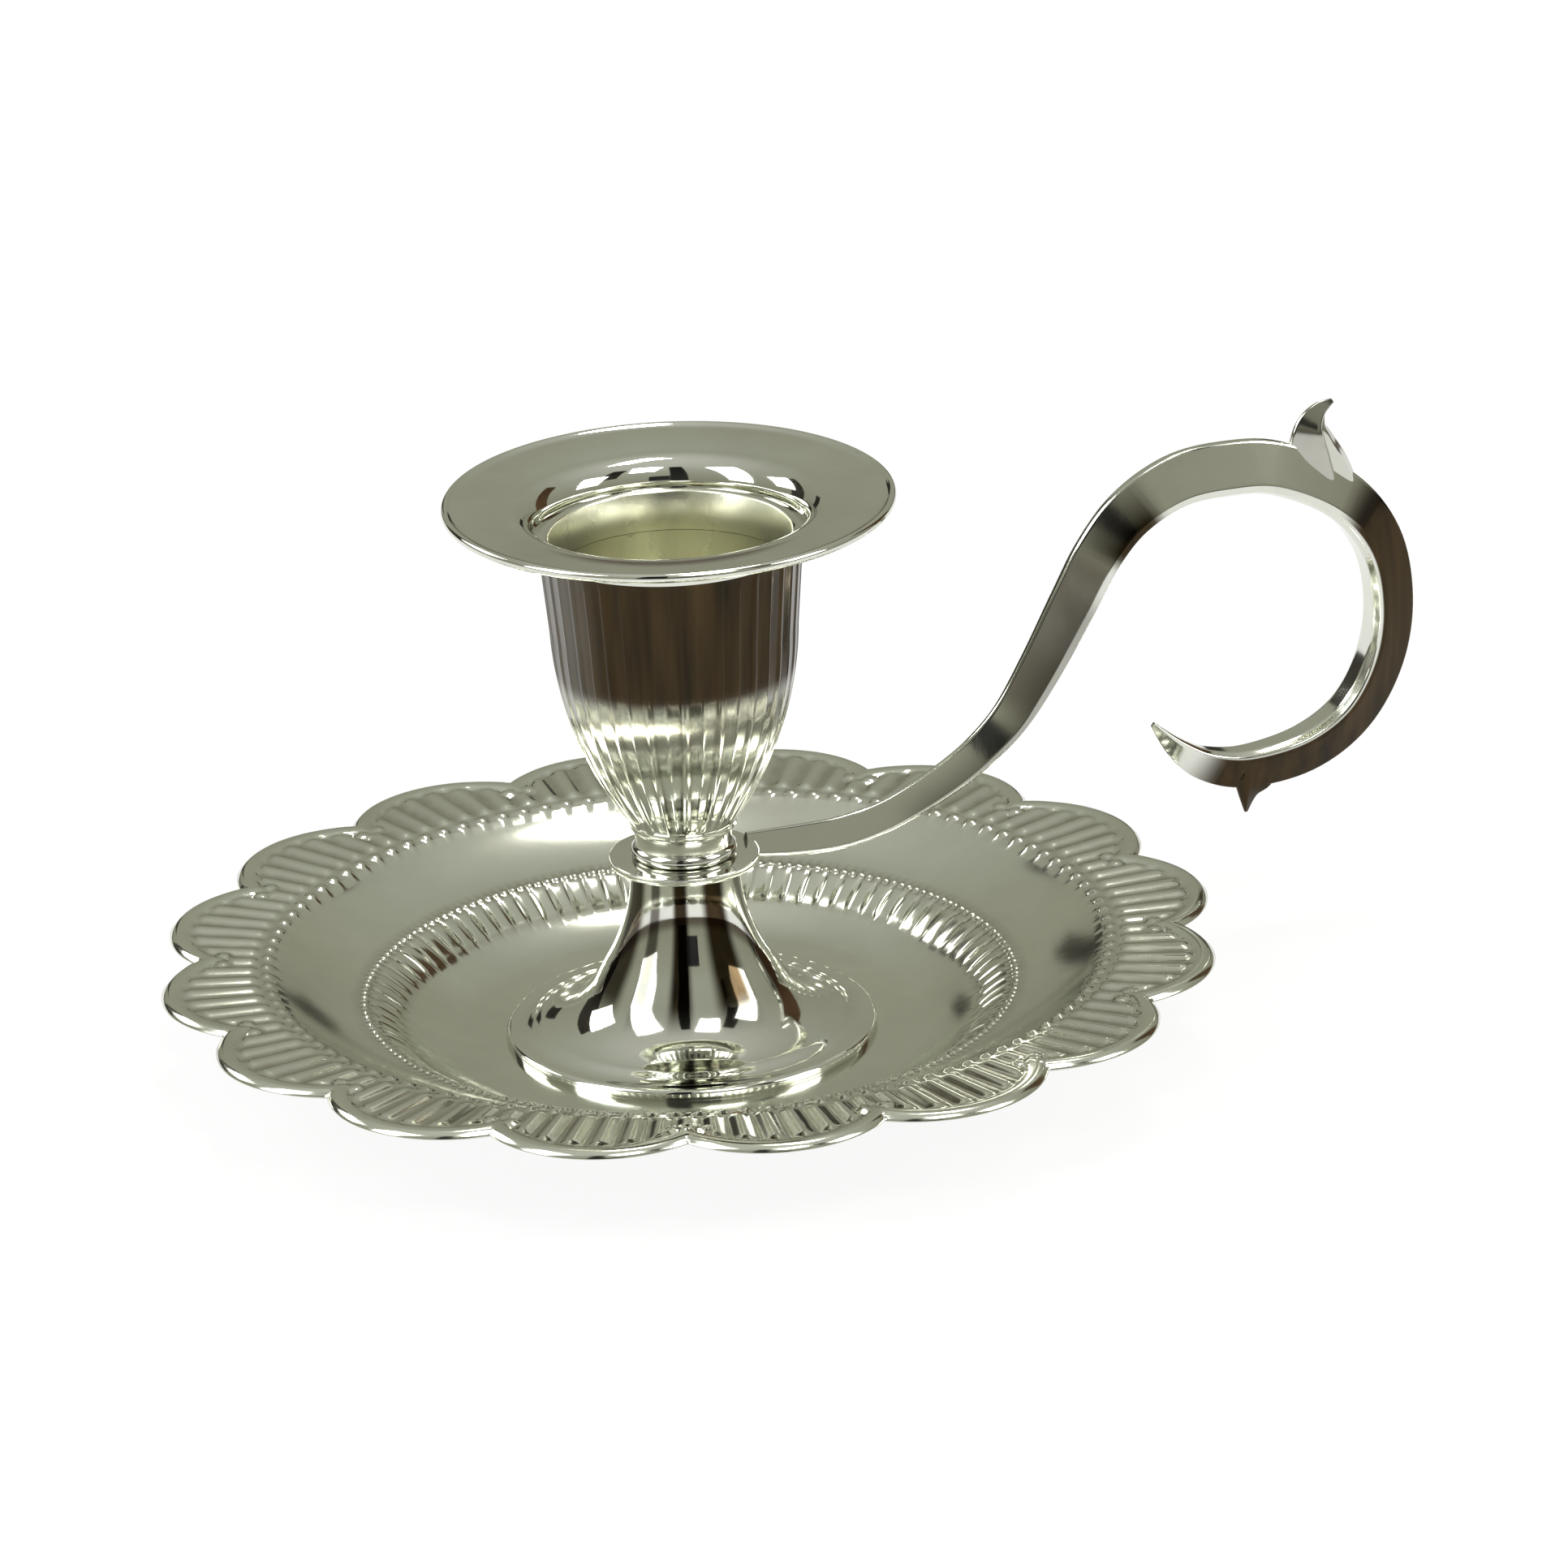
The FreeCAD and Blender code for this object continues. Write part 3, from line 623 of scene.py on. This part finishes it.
# Shares of reach, rise and full section
ROUTE = [
    (0.084, 0.000, 0.46),
    (0.150, -0.016, 0.58),
    (0.211, -0.021, 0.62),
    (0.266, 0.000, 0.62),
    (0.313, 0.040, 0.63),
    (0.368, 0.104, 0.65),
    (0.413, 0.176, 0.68),
    (0.456, 0.274, 0.75),
    (0.499, 0.428, 0.84),
    (0.548, 0.634, 0.92),
    (0.584, 0.784, 0.94),
    (0.629, 0.906, 0.98),
    (0.692, 0.986, 1.02),
    (0.760, 1.000, 1.04),
    (0.838, 0.970, 1.02),
    (0.930, 0.836, 0.98),
    (0.984, 0.651, 0.96),
    (1.000, 0.431, 0.95),
    (0.986, 0.225, 0.95),
    (0.943, 0.051, 0.93),
    (0.875, -0.047, 0.92),
    (0.790, -0.070, 0.82),
    (0.730, -0.030, 0.65),
    (0.689, 0.047, 0.42),
    (0.657, 0.145, 0.10),
]

# Shares of reach and rise, then thickness and width as shares of the bar's thickness
LEAF = [
    (0.905, 0.850, 0.80, 0.40),
    (0.889, 0.980, 0.90, 0.56),
    (0.887, 1.050, 0.76, 0.50),
    (0.891, 1.100, 0.56, 0.40),
    (0.903, 1.140, 0.34, 0.26),
    (0.922, 1.165, 0.10, 0.10),
]
TENDRIL = [
    (0.950, 0.790, 0.30, 0.14),
    (0.936, 0.865, 0.56, 0.30),
    (0.918, 0.948, 0.70, 0.46),
    (0.904, 1.022, 0.62, 0.44),
    (0.899, 1.085, 0.42, 0.34),
    (0.908, 1.135, 0.10, 0.10),
]
THORN = [
    (0.803, -0.035, 0.90, 0.50),
    (0.797, -0.110, 0.95, 0.46),
    (0.790, -0.165, 0.42, 0.32),
    (0.787, -0.228, 0.07, 0.07),
]
# The third value is the strength of each spur's painted reflection, a brown layer
SPURS = [("leaf", LEAF, 0.35), ("tendril", TENDRIL, 0.15), ("thorn", THORN, 1.0)]


def mirrored(half):
    """Closed section of (thickness, width) shares from its half on one side."""
    return half + [(t, -w) for t, w in reversed(half)]


LOZENGE = mirrored([(0.50, 0.28), (0.40, 0.50), (0.28, 0.50), (-0.50, 0.10)])
BLADE = mirrored([(0.50, 0.10), (0.29, 0.50), (0.17, 0.50), (-0.50, 0.10)])


def on_curve(a, b, c, d, t):
    """Value at t on the smooth curve from b to c, with a before them and d after."""
    return 0.5 * (
        2 * b
        + (c - a) * t
        + (2 * a - 5 * b + 4 * c - d) * t * t
        + (3 * b - a - 3 * c + d) * t**3
    )


def smooth_route(stations):
    """Denser stations on a smooth curve through the given ones."""
    made = []
    last = len(stations) - 1
    for k in range(last):
        near = (stations[j] for j in (max(k - 1, 0), k, k + 1, min(k + 2, last)))
        columns = list(zip(*near))
        for j in range(ROUTE_STEPS):
            made.append(tuple(on_curve(*column, j / ROUTE_STEPS) for column in columns))
    made.append(stations[-1])
    return made


def held(points, near):
    """Add two points on each side, near its ends where it is long, so that its face shades flat."""
    made = []
    for first, second in zip(points, points[1:] + points[:1]):
        made.append(first)
        length = math.hypot(second[0] - first[0], second[1] - first[1])
        for t in (near / length, 1 - near / length) if length > 4 * near else (0.3, 0.7):
            made.append(tuple(a + (b - a) * t for a, b in zip(first, second)))
    return made


def bar_rings(stations, corner, section, painted_reflection_at):
    """Rings of a section, square to a route of (x, z, thickness, width) in the XZ plane, and
    their painted reflection strengths.

    Its third argument gives the painted reflection, a brown layer, at (share, side) of the route,
    side -1 being the outer back."""
    rings, painted_reflections = [], []
    last = len(stations) - 1
    for k, (x, z, thick, broad) in enumerate(stations):
        before, after = stations[max(k - 1, 0)], stations[min(k + 1, last)]
        along = Vector((after[0] - before[0], after[1] - before[1])).normalized()
        out = Vector((along.y, -along.x))
        sized = [(t * thick, w * broad) for t, w in section]
        shape = held(soften(sized, corner * min(thick, THICKEST_ROUND)), 0.3 * corner * thick)
        rings.append([(x + out.x * t, w, z + out.y * t) for t, w in shape])
        painted_reflections += [painted_reflection_at(k / last, 2 * t / thick) for t, w in shape]
    return rings, painted_reflections


def joined(name, meshes):
    """One mesh from several islands."""
    points, faces = [], []
    layers = {"hollow": [], "painted_reflection": []}
    for mesh in meshes:
        start = len(points)
        points += [tuple(v.co) for v in mesh.vertices]
        faces += [tuple(start + k for k in p.vertices) for p in mesh.polygons]
        for title, kept in layers.items():
            values = [0.0] * len(mesh.vertices)
            mesh.attributes[title].data.foreach_get("value", values)
            kept += values
        bpy.data.meshes.remove(mesh)
    return mesh_of(name, points, faces, layers)


def scroll_painted_reflection(share, side):
    """Painted reflection on the bar, drawn as a brown layer: the scroll's back, a dark patch in the
    upper bend and the underside.
    """
    station = share * (len(ROUTE) - 1)
    back = ease(station, 15.0, 15.5) * (1 - ease(station, 21.6, 22.6)) * ease(-side, -0.74, -0.66)
    bend = ease(station, 9.8, 10.2) * (1 - ease(station, 11.2, 11.6)) * ease(side, -0.97, -0.8)
    under = 0.50 * ease(station, 3.0, 4.5) * (1 - ease(station, 8.8, 9.4)) * ease(side, -0.6, 0.5)
    return max(back, bend, under)


def make_handle():
    bar = [(u * REACH, EYE_MIDDLE + v * RISE, t * THICK, t * BROAD) for u, v, t in ROUTE]
    rings, painted_reflections = bar_rings(smooth_route(bar), BAR_CORNER, LOZENGE, scroll_painted_reflection)
    meshes = [surface("bar", rings, painted_reflections=painted_reflections, loop=False)]
    for name, shares, spur_reflection in SPURS:
        spur = [(u * REACH, EYE_MIDDLE + v * RISE, t * THICK, w * THICK) for u, v, t, w in shares]
        rings, painted_reflections = bar_rings(smooth_route(spur), SPUR_CORNER, BLADE, lambda *_: spur_reflection)
        meshes.append(surface(name, rings, painted_reflections=painted_reflections, loop=False))
    low, high = EYE_MIDDLE - EYE_HALF, EYE_MIDDLE + EYE_HALF
    eye = [(SCREW_HOLE, low), (EYE_RADIUS, low), (EYE_RADIUS, high), (SCREW_HOLE, high)]
    meshes.append(surface("eye", *turned(soften(eye, EYE_ROUND), EYE_STEPS)))
    return joined("handle_cast", meshes)


piece("handle_cast", make_handle(), CAST, "base", "handle", 38)


# Screw, washer and nut: the CAD's own shapes

for node in ("centre_screw", "base_washer", "cup_nut"):
    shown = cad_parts[node]
    shown.data.materials.clear()
    shown.data.materials.append(ZINC)


# Camera: fitted to the photograph

TILT, YAW, PITCH, ROLL = 0.3972091, 0.0105463, 0.0218542, -0.0453072
DISTANCE, HANDLE_TURN, LIFT = 0.9137, math.radians(21.4), 0.0032
TO_PART = Matrix.Rotation(-HANDLE_TURN, 3, "Z")  # from the camera's axes to the part's


def swing(first, second, angle):
    """Turn two square directions in their plane, first towards second."""
    c, s = math.cos(angle), math.sin(angle)
    return first * c + second * s, second * c - first * s


camera_data = bpy.data.cameras.new("camera")
camera_data.lens = 223.61
camera_data.sensor_width = 36.0
camera_data.clip_start = 0.05
camera_data.clip_end = 50.0
camera = placed("camera", camera_data)
bpy.context.scene.camera = camera

spot = Vector((0, -DISTANCE * math.cos(TILT), DISTANCE * math.sin(TILT)))
ahead = Vector((0, math.cos(TILT), -math.sin(TILT)))
right = Vector((1, 0, 0))
above = right.cross(ahead)
ahead, right = swing(ahead, right, YAW)
ahead, above = swing(ahead, above, PITCH)
right, above = swing(right, above, ROLL)
axes = Matrix((TO_PART @ right, TO_PART @ above, TO_PART @ -ahead)).transposed()
camera.matrix_world = Matrix.Translation(TO_PART @ spot + Vector((0, 0, LIFT))) @ axes.to_4x4()


# Stage: pale floor, a plain room, soft boxes and dark cards

FLOOR_RADIUS, FLOOR_STEPS, FLOOR_GLOW = 4.0, 96, 0.90


def sheet(name, corners, material, mirrored_only=False):
    """One flat face of the studio, which the camera sees unless it is mirrored_only."""
    mesh = bpy.data.meshes.new(name)
    mesh.from_pydata(corners, [], [tuple(range(len(corners)))])
    mesh.materials.append(material)
    made = placed(name, mesh)
    if mirrored_only:
        made.visible_camera = False
        made.visible_shadow = False


def floor_white():
    """Matt white that glows to the camera and in mirrors, so that the ground looks even."""
    material = bpy.data.materials.new("floor_white")
    tree = bare_tree(material)
    rays = add_node(tree, "LightPath", {})
    seen = calc(tree, "ADD", rays["Is Camera Ray"], rays["Is Glossy Ray"], clamped=True)
    seen = calc(tree, "ADD", seen, rays["Is Transmission Ray"], clamped=True)
    share = calc(tree, "MULTIPLY", seen, FLOOR_GLOW)
    matt = add_node(tree, "BsdfDiffuse", {"Color": (0.86, 0.86, 0.85, 1)})
    glow = add_node(tree, "Emission", {"Color": (1, 1, 1, 1)})
    mixed = add_node(tree, "MixShader", {"Fac": share, 1: matt["BSDF"], 2: glow["Emission"]})
    add_node(tree, "OutputMaterial", {"Surface": mixed["Shader"]})
    return material


turns = [TURN * k / FLOOR_STEPS for k in range(FLOOR_STEPS)]
circle = [(FLOOR_RADIUS * math.cos(a), FLOOR_RADIUS * math.sin(a), 0.0) for a in turns]
sheet("floor", circle, floor_white())

# Height in the room, from the horizon at 0 to the ceiling at 1, and colour
WALLS = [
    (0.00, (0.11, 0.092, 0.070)),
    (0.055, (0.14, 0.125, 0.098)),
    (0.125, (0.31, 0.31, 0.245)),
    (0.45, (0.365, 0.37, 0.30)),
    (0.72, (0.43, 0.435, 0.38)),
    (1.00, (0.60, 0.60, 0.55)),
]
world = bpy.data.worlds.new("room")
bpy.context.scene.world = world
room = bare_tree(world)
toward = add_node(room, "TexCoord", {})["Generated"]
height = add_node(room, "SeparateXYZ", {"Vector": toward})["Z"]
walls = add_node(room, "ValToRGB", {"Fac": height})["Color"]
lit = add_node(room, "Background", {"Color": walls, "Strength": 1.0})["Background"]
add_node(room, "OutputWorld", {"Surface": lit})
stops = walls.node.color_ramp.elements
stops[0].position, stops[1].position = WALLS[0][0], WALLS[1][0]
for position, _ in WALLS[2:]:
    stops.new(position)
for stop, (_, colour) in zip(stops, WALLS):
    stop.color = (*colour, 1)

AIM_HEIGHT = 0.02


def soft_box(name, azimuth, elevation, distance, width, height, power, colour):
    """Area lamp that looks at the object. Azimuth 0 is on the camera's side and grows to the
    right."""
    data = bpy.data.lights.new(name, "AREA")
    data.shape = "RECTANGLE"
    data.size = width
    data.size_y = height
    data.energy = power
    data.color = colour
    a, e = math.radians(azimuth), math.radians(elevation)
    level = math.cos(e)
    away = TO_PART @ Vector((math.sin(a) * level, -math.cos(a) * level, math.sin(e)))
    lamp = placed(name, data)
    lamp.location = away * distance + Vector((0, 0, AIM_HEIGHT))
    lamp.rotation_mode = "QUATERNION"
    lamp.rotation_quaternion = away.to_track_quat("Z", "Y")


soft_box("left_window", -118, 30, 1.1, 0.46, 0.36, 3.6, (1.0, 0.99, 0.96))
soft_box("right_window", 74, 35, 1.1, 0.40, 0.46, 5.0, (1.0, 1.0, 0.98))
soft_box("top_box", 150, 74, 1.2, 0.34, 0.20, 4.2, (1.0, 0.99, 0.93))
soft_box("front_left", -66, 38, 1.1, 0.46, 0.90, 7.0, (0.95, 1.0, 1.0))
soft_box("front_right", 25, 57, 1.1, 0.34, 0.34, 3.2, (1.0, 1.0, 0.97))


def flag(name, azimuth, distance, width, low, high, colour):
    """Dark upright card of the studio, seen only in the metal."""
    a = math.radians(azimuth)
    middle = Vector((math.sin(a), -math.cos(a), 0)) * distance
    side = Vector((math.cos(a), math.sin(a), 0)) * width / 2
    ends = (middle - side, middle + side, middle + side, middle - side)
    material = bpy.data.materials.new(name)
    material.use_nodes = True
    paint = material.node_tree.nodes["Principled BSDF"].inputs
    paint["Base Color"].default_value = (*colour, 1)
    paint["Roughness"].default_value = 0.9
    heights = (low, low, high, high)
    corners = [TO_PART @ (end + Vector((0, 0, z))) for end, z in zip(ends, heights)]
    sheet(name, corners, material, mirrored_only=True)


flag("flag_front", -10, 1.25, 0.34, 0.10, 2.4, (0.012, 0.011, 0.012))
flag("flag_bend", 7, 1.25, 0.40, 0.24, 0.66, (0.012, 0.011, 0.014))
flag("flag_right", 56, 1.3, 0.42, 0.88, 2.2, (0.03, 0.022, 0.018))
flag("flag_left", -134, 1.3, 0.45, 0.02, 1.0, (0.03, 0.025, 0.02))
flag("flag_back", 130, 1.3, 0.40, 0.02, 1.1, (0.09, 0.045, 0.018))
flag("flag_far_left", -164, 1.3, 0.13, 0.12, 0.46, (0.01, 0.008, 0.006))
flag("flag_far_right", 169, 1.3, 0.13, 0.01, 0.24, (0.01, 0.008, 0.006))

bpy.context.scene.view_settings.view_transform = "Standard"
